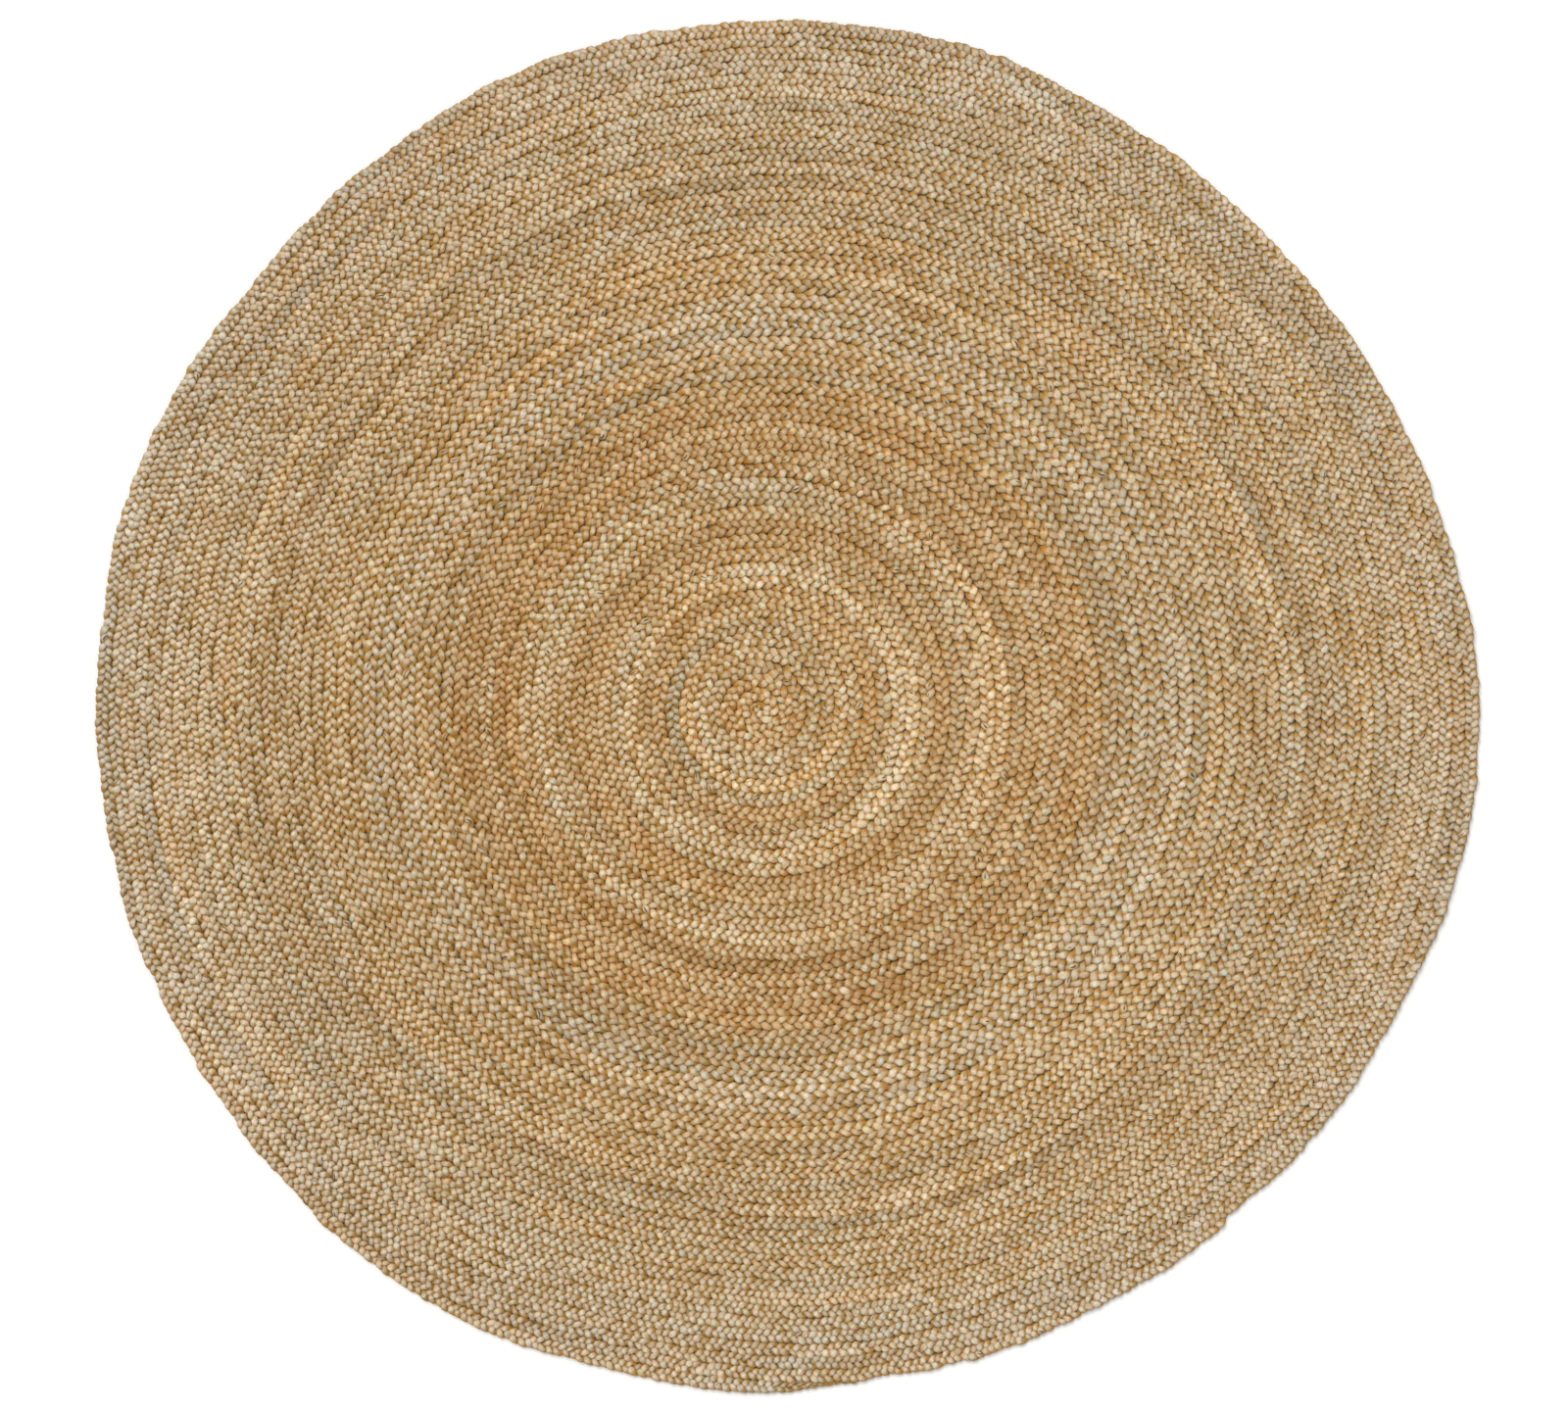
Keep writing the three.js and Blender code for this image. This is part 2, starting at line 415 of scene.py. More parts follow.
def plait_tree():
    """Three strands that swing from side to side and pass over and under each other."""
    tree = GeometryTree(
        "Plait",
        {
            "Strand Width": FLOAT,
            "Strand Thickness": FLOAT,
            "Plait Thickness": FLOAT,
            "Swing": FLOAT,
            "Edge Height": FLOAT,
            "Bulge": FLOAT,
            "Unevenness": FLOAT,
            "Sides": WHOLE,
            "Seed": WHOLE,
            "Material": MATERIAL,
        },
    )
    phase, size = tree.stored("phase"), tree.stored("size")
    half_width, rise = tree.stored("half_width"), tree.stored("rise")
    thickness, strand = tree.given("Plait Thickness"), tree.given("Strand Thickness")
    uneven = tree.given("Unevenness")

    lobe = (phase / math.pi).math("FLOOR") * STRANDS + tree.stored("strand")

    def chance(seed):
        """A random value from 0 to 1 for each lobe."""
        sockets = {"ID": lobe, "Seed": tree.given("Seed") + seed}
        return tree.add("FunctionNodeRandomValue", {"data_type": "FLOAT"}, sockets, "Value_001")

    over = (phase * 2.0).math("SINE")
    middle = over.math("ABSOLUTE")  # 0 at crossings and 1 at the middle of a lobe
    height_chance, width_chance, turn_chance = chance(11), chance(23), chance(37)

    curve = tree.add("GeometryNodeMeshToCurve", None, {"Mesh": tree.given("Geometry")})
    curve = tree.store(curve, "shade", chance(53))
    curve = tree.store(curve, "middle", middle)
    edge = phase.math("SINE") * phase.math("SINE")  # 0 in the plait's middle and 1 at its edges
    curve = tree.store(curve, "edge", edge)
    zigzag = phase.math("SINE") - TURN_FLATNESS * (phase * 3.0).math("SINE")
    swing = tree.given("Swing") * half_width * zigzag / (1.0 + TURN_FLATNESS)
    wave = over * (CREST_GAIN - CREST_FLATNESS * over * over)
    wave = wave * (1.0 + (height_chance - 0.5) * uneven * LOBE_HEIGHT_SPREAD)
    wave = wave + tree.given("Edge Height") * (edge - MEAN_EDGE)
    dive = (thickness - strand) * 0.5 * size * wave
    drift = (turn_chance - 0.5) * uneven * middle * LOBE_DRIFT
    offset = tree.vector_sum(
        tree.scaled(tree.stored("across", "FLOAT_VECTOR"), swing + drift),
        tree.vector(0.0, 0.0, dive + rise),
    )
    curve = tree.add("GeometryNodeSetPosition", None, {"Geometry": curve, "Offset": offset})
    tilt = (chance(71) - 0.5) * middle * uneven * LOBE_TILT_SPREAD
    curve = tree.add("GeometryNodeSetCurveTilt", None, {"Curve": curve, "Tilt": tilt})
    bulge = tree.given("Bulge") * (phase * 4.0).math("COSINE")
    swell = MIDDLE_SWELL + EDGE_SWELL * edge - bulge
    width_spread = (width_chance - 0.5) * uneven * middle * LOBE_WIDTH_SPREAD
    scale = size * swell * (1.0 + width_spread)
    tube = tree.tube(curve, tree.given("Sides"), tree.given("Strand Width"), strand, scale)
    z = tree.add("ShaderNodeSeparateXYZ", None, {0: tree.add("GeometryNodeInputPosition")}, "Z")
    # Height from the plait's middle line, 0 there and about 1 at the top and bottom; the jute
    # paints its shade and highlights from it
    crest = (z - rise).math("ABSOLUTE") / (thickness * 0.5)
    tube = tree.store(tube, "crest", crest)
    # The underside is pressed flat where it would reach below the floor
    pressed = tree.vector(0.0, 0.0, (z * -1.0).math("MAXIMUM", 0.0))
    tube = tree.add("GeometryNodeSetPosition", None, {"Geometry": tube, "Offset": pressed})
    tree.finish(tube, tree.given("Material"))
    return tree


def thread_tree():
    """A round thread or fibre that sways from side to side along its line."""
    tree = GeometryTree(
        "Thread",
        {
            "Diameter": FLOAT,
            "Sway": FLOAT,
            "Dip": FLOAT,
            "Sides": WHOLE,
            "Material": MATERIAL,
        },
    )
    phase = tree.stored("phase")
    sway = tree.given("Sway") * phase.math("SINE")
    dip = tree.given("Dip") * (phase * 2.0).math("COSINE")
    offset = tree.vector_sum(
        tree.scaled(tree.stored("across", "FLOAT_VECTOR"), sway),
        tree.vector(0.0, 0.0, dip + tree.stored("rise")),
    )
    curve = tree.add("GeometryNodeMeshToCurve", None, {"Mesh": tree.given("Geometry")})
    curve = tree.add("GeometryNodeSetPosition", None, {"Geometry": curve, "Offset": offset})
    diameter = tree.given("Diameter")
    tube = tree.tube(curve, tree.given("Sides"), diameter, diameter, tree.stored("size"))
    tree.finish(tube, tree.given("Material"))
    return tree


# ---------------------------------------------------------------- materials


class Shader(Nodes):
    """A material with one Principled shader."""

    def __init__(self, name, constants):
        self.material = bpy.data.materials.new(name)
        self.material.use_nodes = True
        super().__init__(self.material.node_tree)
        self.surface = self.tree.nodes["Principled BSDF"]
        for socket, value in constants.items():
            self.surface.inputs[socket].default_value = value

    def feed(self, socket, value):
        self.plug(value, self.surface.inputs[socket])

    def attribute(self, name, output="Fac"):
        return self.add("ShaderNodeAttribute", {"attribute_name": name}, None, output)

    def tinted(self, colour, red, green, blue):
        """A colour with more or less of each of its parts."""
        return self.colour_mix(1.0, colour, (red, green, blue, 1.0), "MULTIPLY")

    def along_fibre(self, run, along, around):
        """Coordinates that stretch a pattern along the strand, in repeats per metre."""
        return self.add(
            "ShaderNodeMapping",
            {"vector_type": "POINT"},
            {"Vector": run, "Scale": (along, around, 1.0)},
        )

    def noise(self, vector, scale, detail=2.0, roughness=0.5):
        return self.add(
            "ShaderNodeTexNoise",
            {"noise_dimensions": "3D"},
            {"Vector": vector, "Scale": scale, "Detail": detail, "Roughness": roughness},
        )

    def bump(self, height, strength, distance):
        normal = self.add(
            "ShaderNodeBump",
            None,
            {"Height": height, "Strength": strength, "Distance": distance},
        )
        self.feed("Normal", normal)


def jute_material(name):
    """Coarse jute: long pale and brown fibres, with painted shade in the crevices and on the
    flanks, painted highlights on the crests, and a dull sheen.
    """
    jute = Shader(
        name,
        {
            "Specular IOR Level": 0.16,
            "Sheen Weight": 0.04,
            "Sheen Roughness": 0.45,
            "Sheen Tint": (1.0, 0.93, 0.8, 1.0),
        },
    )
    run = jute.add("ShaderNodeUVMap", {"uv_map": "fibre_run"})
    place = jute.add("ShaderNodeTexCoord", None, None, "Object")
    yarn = jute.attribute("yarn", "Color")
    shade = jute.attribute("shade")
    crest = jute.attribute("crest")
    middle = jute.attribute("middle")
    edge = jute.attribute("edge")

    # Patterns that run with the fibres, in repeats per metre along and around the strand
    bundles = jute.noise(jute.along_fibre(run, 100.0, 700.0), 1.0, 3.0, 0.6)
    fibres = jute.noise(jute.along_fibre(run, 160.0, 2600.0), 1.0, 3.0, 0.65)
    mottle = jute.noise(jute.along_fibre(run, 120.0, 240.0), 1.0, 3.0, 0.6)
    flecks = jute.noise(jute.along_fibre(run, 55.0, 260.0), 1.0, 1.0, 0.5)
    slivers = jute.noise(jute.along_fibre(run, 45.0, 420.0), 1.7, 1.0, 0.5)
    # Patterns that lie across the whole rug, in repeats per metre
    clouds = jute.noise(place, 14.0, 3.0, 0.6)
    # patches where the joints get their painted shade and dust
    dark_patches = jute.noise(place, 30.0, 2.0, 0.6)
    clumps = jute.noise(place, 48.0, 2.0, 0.6)
    blush = jute.noise(place, 110.0, 1.0, 0.5)

    pale = jute.tinted(yarn, 1.25, 1.26, 1.17)
    brown = jute.tinted(yarn, 0.85, 0.72, 0.57)
    deep = jute.tinted(yarn, 0.6, 0.335, 0.02)
    red_sliver = (0.4, 0.18, 0.055, 1.0)
    dark_fleck = (0.055, 0.036, 0.02, 1.0)

    # What lies over the yarn, painted shade and highlights among it, one on another: where it
    # shows, how strongly, and its colour
    layers = (
        (bundles.over(0.47, 0.64), 0.75, pale),
        ((1.0 - bundles).over(0.5, 0.64), 0.6, brown),
        # painted highlight: paler on the tops of the lobes' crests
        (crest.over(0.75, 0.94) * middle.over(0.45, 1.0), 0.5, pale),
        (shade.over(0.6, 1.0), 0.3, brown),
        ((1.0 - shade).over(0.7, 1.0), 0.15, pale),
        (mottle.over(0.52, 0.64), 0.7, brown),
        ((1.0 - fibres).over(0.46, 0.62), 0.5, brown),
        (clouds.over(0.5, 0.7), 0.5, brown),
        (clumps.over(0.55, 0.68), 0.35, deep),
        # painted shade: browner down the lobes' flanks, where they fall away from the crest
        (1.0 - crest.over(0.62, 0.97), 0.7, brown),
        # painted shade: dark brown deep in the crevices between lobes and strands
        (1.0 - crest.over(0.2, 0.75), 0.75, deep),
        # painted shade and dust: darker in patches along the joints between turns, where the
        # strands dive at the plait's edges
        (edge.over(0.55, 0.93) * dark_patches.over(0.38, 0.56), 0.6, deep),
        (slivers.over(0.62, 0.7), 0.4, red_sliver),
        (flecks.over(0.705, 0.74), 0.85, dark_fleck),
    )
    colour = yarn
    for where, strength, layer in layers:
        colour = jute.colour_mix(where * strength, colour, layer)
    rosy = jute.tinted(colour, 1.035, 0.983, 1.01)
    green = jute.tinted(colour, 0.97, 1.015, 0.985)
    colour = jute.colour_mix(blush.over(0.4, 0.6), green, rosy)
    jute.feed("Base Color", colour)
    jute.feed("Roughness", 0.72 + fibres * 0.22)
    jute.bump(bundles * 0.6 + fibres * 0.4, 0.8, 0.0016)
    return jute.material


def thread_material():
    """Dull twisted thread."""
    thread = Shader("sewing_thread", {"Specular IOR Level": 0.2, "Sheen Weight": 0.1})
    place = thread.add("ShaderNodeTexCoord", None, None, "Object")
    dark_patches = thread.noise(place, 60.0, 3.0)
    twist = thread.noise(place, 900.0, 2.0)
    base = tuple(bpy.context.scene.rug_tones.thread)
    dark = tuple(c * 0.55 for c in base)
    thread.feed("Base Color", thread.colour_mix(dark_patches.over(0.35, 0.7), (*base, 1), (*dark, 1)))
    thread.feed("Roughness", 0.75 + twist * 0.2)
    thread.bump(twist, 0.4, 0.0003)
    return thread.material


def floor_material():
    """Plain pale floor."""
    floor = Shader("pale_floor", {"Roughness": 0.85, "Specular IOR Level": 0.1})
    floor.feed("Base Color", (*PALE_FLOOR, 1.0))
    return floor.material


# ---------------------------------------------------------------- the winding


def smoothstep(value, low, high):
    x = np.clip((value - low) / (high - low), 0, 1)
    return x * x * (3 - 2 * x)


def ripple(points, shortest, longest, seed, count=9):
    """Smooth random value of about -1 to 1 at each point, from crossing waves."""
    draw = np.random.default_rng(seed)
    total = np.zeros(len(points))
    for _ in range(count):
        heading, start = draw.uniform(0, FULL_TURN, 2)
        wave = FULL_TURN / draw.uniform(shortest, longest)
        total += np.sin(points @ np.array([math.cos(heading), math.sin(heading)]) * wave + start)
    return total / math.sqrt(2 * count)


class Winding:
    """The spiral of plait, from the eye to the tail, worked out at many points."""

    POINTS_PER_TURN = 1440

    def __init__(self, sizes):
        self.sizes = sizes
        self.core_turns = sizes.border_radius / sizes.core_width
        outer = sizes.rug_radius + sizes.border_width / 2
        self.last_joint = self.core_turns + (outer - sizes.border_radius) / sizes.border_width
        self.end_turn = self.last_joint - 1
        self.steps = math.floor((self.end_turn - START_TURN) * FACETS_PER_TURN)
        self.middle = np.zeros(2)
        edge = self.joint(np.linspace(self.end_turn, self.last_joint, self.POINTS_PER_TURN))
        self.middle = (edge.min(0) + edge.max(0)) / 2

        count = int((self.end_turn - self.turn_at(0)) * self.POINTS_PER_TURN)
        self.turns = np.linspace(self.turn_at(0), self.end_turn, count)
        inner, outer = self.joint(self.turns), self.joint(self.turns + 1)
        self.inner_run = self.run_of(inner)
        outer = inner + (outer - inner) * self.tail_share(inner, outer)[:, None]
        self.line = (inner + outer) / 2
        span = outer - inner
        width = np.linalg.norm(span, axis=1)
        self.half_width = width / 2
        self.across = span / width[:, None]
        self.run = self.run_of(self.line)
        self.rise = self.lift(self.line)
        self.phase = self.phases()

    def turn_at(self, step):
        return self.end_turn - (self.steps - step) / FACETS_PER_TURN

    def mean_radius(self, turns):
        sizes = self.sizes
        core = np.maximum(turns * sizes.core_width, EYE_HOLE_RADIUS)
        border = sizes.border_radius + (turns - self.core_turns) * sizes.border_width
        return np.where(turns <= self.core_turns, core, border)

    def joint(self, turns):
        """Points on the joint between two turns of plait."""
        angle = self.sizes.tail_angle + (turns - self.last_joint) * FULL_TURN
        mean = self.mean_radius(turns)
        share_out = (mean / self.sizes.rug_radius) ** 2
        radius = mean.copy()
        for lobes, stands_out, crest in EDGE_WAVES:
            radius += stands_out * share_out * np.cos(lobes * (angle - math.radians(crest)))
        past = (angle - KINK_ANGLE) % FULL_TURN
        dent = smoothstep(past, 0, KINK_STEP) * (1 - smoothstep(past, KINK_STEP, KINK_LENGTH))
        radius -= KINK_DEPTH * dent * share_out ** (KINK_FADE / 2)
        creep = CREEP * smoothstep(mean, CREEP_FROM, CREEP_TO)
        points = np.stack(
            [
                radius * np.cos(angle) + creep * math.cos(CREEP_ANGLE),
                radius * np.sin(angle) + creep * math.sin(CREEP_ANGLE),
            ],
            1,
        )
        for axis, seed in ((0, 5), (1, 6)):
            long_waves = ripple(points, 0.14, 0.4, seed)
            short_waves = ripple(points, 0.05, 0.12, seed + 4)
            wander = long_waves + 0.6 * short_waves
            points[:, axis] += self.sizes.edge_wobble * share_out * wander
        return points - self.middle

    def tail_share(self, inner, outer):
        """Share of the plait's width that is left as the tail is thinned."""
        left = self.inner_run[-1] - self.inner_run
        thinned = 1 - smoothstep(left, 0, TAIL_TAPER)
        return 1 - thinned * (1 - TAIL_TIP_WIDTH / np.linalg.norm(outer - inner, axis=1))

    @staticmethod
    def run_of(points):
        """Distance along a line to each of its points."""
        hops = np.linalg.norm(np.diff(points, axis=0), axis=1)
        return np.concatenate([[0], np.cumsum(hops)])

    def lift(self, points):
        """Height of the plait's middle: half its thickness, and a little more near the edge."""
        away = np.linalg.norm(points, axis=1) / self.sizes.rug_radius
        wave = 0.5 + 0.5 * ripple(points, 0.3, 0.6, 8)
        slack = np.clip(wave, 0, 1) * smoothstep(away, 0.5, 1)
        return self.sizes.thickness / 2 + self.sizes.edge_lift * slack

    def phases(self):
        """How far round its lay the plait is at each point."""
        radius, pitch = np.array(LOBE_PITCH).T
        pitch = np.interp(self.mean_radius(self.turns), radius, pitch)
        beat = np.stack([self.run, np.zeros_like(self.run)], 1)
        pitch = pitch * (1 + PITCH_SPREAD * ripple(beat, 0.07, 0.5, 9))
        hops = np.diff(self.run) / (STRANDS * (pitch[1:] + pitch[:-1]) / 2)
        return FULL_TURN * np.concatenate([[0], np.cumsum(hops)])

    def shared(self, first, last, count):
        """Runs of steps that share a stretch evenly, as turns where each starts and ends."""
        ends = [math.floor(first + (last - first) * i / count + 0.5) for i in range(count + 1)]
        return [(self.turn_at(a), self.turn_at(b)) for a, b in zip(ends, ends[1:])]

    def at(self, runs, values):
        """Values of the line at distances along it."""
        if values.ndim == 1:
            return np.interp(runs, self.run, values)
        return np.stack([np.interp(runs, self.run, column) for column in values.T], 1)


def yarn_tones(turns, tones):
    """Colour of the jute at each turn count."""
    starts = np.array([turn for turn, _ in SPLICES])
    colours = np.array([tuple(getattr(tones, name)) for _, name in SPLICES])
    knots = np.stack([starts - SPLICE_BLEND, starts + SPLICE_BLEND], 1).ravel()[1:]
    values = np.repeat(colours, 2, axis=0)[:-1]
    return np.stack([np.interp(turns, knots, column) for column in values.T], 1)


# ---------------------------------------------------------------- meshes


def line_object(name, lines):
    """A mesh of open lines. Each line is a dict of values per point, "place" among them."""
    counts = [len(line["place"]) for line in lines]
    starts = np.concatenate([[0], np.cumsum(counts)[:-1]])
    edges = [np.arange(start, start + n - 1) for start, n in zip(starts, counts)]
    edges = np.concatenate(edges)
    mesh = bpy.data.meshes.new(name)
    mesh.vertices.add(sum(counts))
    mesh.edges.add(len(edges))
    joined = {key: np.concatenate([line[key] for line in lines]) for key in lines[0]}
    mesh.vertices.foreach_set("co", joined.pop("place").astype(np.float32).ravel())
    pairs = np.stack([edges, edges + 1], 1).astype(np.int32)
    mesh.edges.foreach_set("vertices", pairs.ravel())
    kinds = {1: ("FLOAT", "value"), 3: ("FLOAT_VECTOR", "vector"), 4: ("FLOAT_COLOR", "color")}
    for key, values in joined.items():
        kind, field = kinds[1 if values.ndim == 1 else values.shape[1]]
        layer = mesh.attributes.new(key, kind, "POINT")
        layer.data.foreach_set(field, values.astype(np.float32).ravel())
    mesh.update()
    obj = bpy.data.objects.new(name, mesh)
    bpy.context.scene.collection.objects.link(obj)
    return obj


def grown(name, lines, tree, inputs):
    """The plain mesh object that a Geometry Nodes tree makes of some lines."""
    source = line_object(name + "_lines", lines)
    modifier = source.modifiers.new("Nodes", "NODES")
    modifier.node_group = tree.tree
    for label, value in inputs.items():
        modifier[tree.identifiers[label]] = value
    depsgraph = bpy.context.evaluated_depsgraph_get()
    mesh = bpy.data.meshes.new_from_object(
        source.evaluated_get(depsgraph), preserve_all_data_layers=True, depsgraph=depsgraph
    )
    mesh.name = name
    line_mesh = source.data
    bpy.data.objects.remove(source)
    bpy.data.meshes.remove(line_mesh)
    if not mesh.polygons:
        raise RuntimeError(f"{name} came out empty")
    piece = bpy.data.objects.new(name, mesh)
    bpy.context.scene.collection.objects.link(piece)
    return piece


def point_values(mesh, name):
    values = np.zeros(len(mesh.vertices), np.float32)
    mesh.attributes[name].data.foreach_get("value", values)
    return values


def drop_attributes(mesh, *names):
    for name in names:
        layer = mesh.attributes.get(name)
        if layer:
            mesh.attributes.remove(layer)


def add_uvs(mesh, girth):
    """Lays the strands flat: once in metres for the fibres, and once in rows for baking."""
    laid, around = point_values(mesh, "laid"), point_values(mesh, "around")
    corners = np.zeros(len(mesh.loops), np.int32)
    mesh.loops.foreach_get("vertex_index", corners)
    starts = np.zeros(len(mesh.polygons), np.int32)
    mesh.polygons.foreach_get("loop_start", starts)
    sizes = np.zeros(len(mesh.polygons), np.int32)
    mesh.polygons.foreach_get("loop_total", sizes)
    face = np.repeat(np.arange(len(starts)), sizes)
    u, v = laid[corners], around[corners]
    highest = np.maximum.reduceat(v, starts)
    cap = (sizes > 4)[face]  # a strand's cut ends are its only faces with more than four corners
    v = np.where((v < 0.01) & (highest[face] > 0.7) & ~cap, 1.0, v)
    write_uv(mesh, "fibre_run", u, v * girth)

    # Rows of strand under one another in a square, with the cut ends in a row of their own on top
    margin = girth * 0.12
    total = laid.max() + 0.01
    side = math.sqrt(total * (girth + margin)) + girth
    first = np.minimum.reduceat(u, starts)[face]
    row_length = side - BAKE_ROW_SPARE
    row = np.floor(first / row_length)
    x = (u - row * row_length + BAKE_INDENT) / side
    y = (row * (girth + margin) + margin / 2 + v * girth) / side
    number = np.cumsum(sizes > 4)[face]  # which cut end it is
    x = np.where(cap, (0.6 + number + 0.3 * np.cos(v * FULL_TURN)) * girth / side, x)
    y = np.where(cap, 1 - (0.5 + 0.3 * np.sin(v * FULL_TURN)) * girth / side, y)
    write_uv(mesh, "OFBake", x, y)


def write_uv(mesh, name, x, y):
    layer = mesh.uv_layers.new(name=name)
    layer.uv.foreach_set("vector", np.stack([x, y], 1).astype(np.float32).ravel())


def strand_phases(full, ahead, ends):
    """Phases of a strand's points. Its cuts are hidden where it passes under the others."""
    step = FULL_TURN / STEPS_PER_LAY
    low, high = (full + ahead - UNDER_PHASE) / math.pi
    low, high = (round(x) * math.pi + UNDER_PHASE for x in (low, high))
    if ends == "start":
        low = math.ceil((full[0] + ahead - step / 2) / step) * step + step / 2
    if ends == "end":
        high = math.floor((full[1] + ahead - step / 2) / step) * step + step / 2
    return low + step * np.arange(round((high - low) / step) + 1)


def strand_stretch(winding, phase, ahead, run, half_width):
    """Length of strand from its start to each of its points, with its swing and its dives."""
    step = FULL_TURN / STEPS_PER_LAY
    dive = 0.5  # rise or fall for each unit of length
    swing = winding.sizes.swing * half_width * np.cos(phase)
    lay = np.interp(phase[1:] - ahead, winding.phase, winding.run)
    lay = (lay - np.interp(phase[1:] - ahead - step, winding.phase, winding.run)) / step
    slant = swing[1:] / np.maximum(lay, 1e-6)
    hops = np.diff(run) * np.sqrt(1 + slant**2 + dive**2)
    return np.concatenate([[0], np.cumsum(hops)])


def strand_colour(run, beat, bundle, unevenness):
    """Colour of a strand: its bundle's tone, lighter or warmer in places than its neighbours."""
    along = np.stack([run, np.zeros(len(run))], 1)
    warm = 0.05 * ripple(beat + 7, 0.1, 1.2, 13) + 0.05 * ripple(along, 0.15, 1.5, 16)
    light = 0.1 * ripple(beat + 9, 0.1, 1.2, 14) + 0.09 * ripple(along, 0.15, 1.5, 17)
    warm, light = (unevenness * x[:, None] for x in (warm, light))
    colour = np.ones((len(run), 4))
    colour[:, :3] = bundle * (1 + light + warm * WARMER)
    return colour


def strand_lines(winding, tones, first_turn, last_turn, ends):
    """The three strands of a stretch of plait, each with a point every twelfth of its lay."""
    sizes = winding.sizes
    full = np.interp([first_turn, last_turn], winding.turns, winding.phase)
    inside = (winding.turns >= first_turn) & (winding.turns <= last_turn)
    usual = np.median(winding.half_width[inside])
    lines, laid = [], 0.0
    for strand in range(STRANDS):
        ahead = FULL_TURN * strand / STRANDS
        phase = strand_phases(full, ahead, ends)
        run = np.interp(phase - ahead, winding.phase, winding.run)
        beat = np.stack([run, np.full(len(run), 3.0 * strand)], 1)
        run = run + STRAND_SLIP * sizes.unevenness * ripple(beat, 0.024, 0.07, 15)
        run[0] += GAP / 2
        run[-1] -= GAP / 2
        half_width = winding.at(run, winding.half_width)
        place = np.zeros((len(run), 3))
        place[:, :2] = winding.at(run, winding.line)
        across = np.zeros((len(run), 3))
        across[:, :2] = winding.at(run, winding.across)
        spread = STRAND_WIDTH_SPREAD * sizes.unevenness * ripple(beat, 0.02, 0.2, 12)
        stretch = strand_stretch(winding, phase, ahead, run, half_width)
        turns = winding.at(run, winding.turns)
        bundle = yarn_tones(turns + SPLICE_STAGGER[strand], tones)
        lines.append(
            {
                "place": place,
                "phase": phase,
                "size": half_width / usual * (1 + spread),
                "half_width": half_width,
                "rise": winding.at(run, winding.rise),
                "across": across,
                "strand": np.full(len(run), float(strand)),
                "laid": laid + stretch,
                "yarn": strand_colour(run, beat, bundle, sizes.unevenness),
            }
        )
        laid += stretch[-1] + STRAND_MARGIN
    return lines, usual, laid


def plait_piece(name, winding, tree, material, first_turn, last_turn, seed, ends=""):
    """A stretch of plait as one mesh of the three strands it is made of."""
    scene = bpy.context.scene
    sizes = scene.rug_sizes
    lines, usual, laid = strand_lines(winding, scene.rug_tones, first_turn, last_turn, ends)
    width = sizes.strand_width * usual
    thickness = sizes.strand_thickness * sizes.thickness
    piece = grown(
        name,
        lines,
        tree,
        {
            "Strand Width": width,
            "Strand Thickness": thickness,
            "Plait Thickness": sizes.thickness,
            "Swing": sizes.swing,
            "Edge Height": sizes.edge_height,
            "Bulge": sizes.bulge,
            "Unevenness": sizes.unevenness,
            "Sides": STRAND_SIDES,
            "Seed": seed,
            "Material": material,
        },
    )
    girth = math.pi * math.sqrt((width**2 + thickness**2) / 2) * FLAT_SIDES_GIRTH
    add_uvs(piece.data, girth)
    drop_attributes(
        piece.data, "phase", "size", "half_width", "rise", "across", "strand", "laid", "around"
    )
    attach(piece, "root")
    # The band is the three strands side by side, as they were before they were plaited
    STRANDS * width
    laid / STRANDS
    return piece


# ---------------------------------------------------------------- operators


class Maker:
    """What the operators share: the trees and the materials."""

    made = {}

    @classmethod
    def get(cls, key, make):
        if key not in cls.made:
            cls.made[key] = make()
        return cls.made[key]

    @classmethod
    def jute(cls, tone_name):
        return cls.get("jute_" + tone_name, lambda: jute_material("jute_" + tone_name))


class RUG_OT_plait_lengths(bpy.types.Operator):
    """Make the lengths of plait from the eye to the tail"""

    bl_idname = "rug.plait_lengths"
    bl_label = "Plait lengths"

    def execute(self, context):
        winding = Winding(context.scene.rug_sizes)
        tree = Maker.get("plait", plait_tree)
        stretches = winding.shared(0, winding.steps - 1, len(LENGTH_TONES))
        for i, (tone_name, (first, last)) in enumerate(zip(LENGTH_TONES, stretches)):
            number = f"{i + 1:02d}"
            ends = "start" if i == 0 else ""
            material = Maker.jute(tone_name)
            piece = plait_piece(
                "jute_plait_" + number, winding, tree, material, first, last, LENGTH_SEED + i, ends
            )
            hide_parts("plait_length_" + number)
            "jute_" + tone_name
        return {"FINISHED"}


class RUG_OT_tail(bpy.types.Operator):
    """Make the tail, where the plait is thinned and sewn to the turn inside it"""

    bl_idname = "rug.tail"
    bl_label = "Tail"

    def execute(self, context):
        winding = Winding(context.scene.rug_sizes)
        tree = Maker.get("plait", plait_tree)
        first, last = winding.turn_at(winding.steps - 1), winding.end_turn
        piece = plait_piece(
            "jute_tail", winding, tree, Maker.jute("ash"), first, last, TAIL_SEED, "end"
        )
        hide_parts("tail")
        return {"FINISHED"}


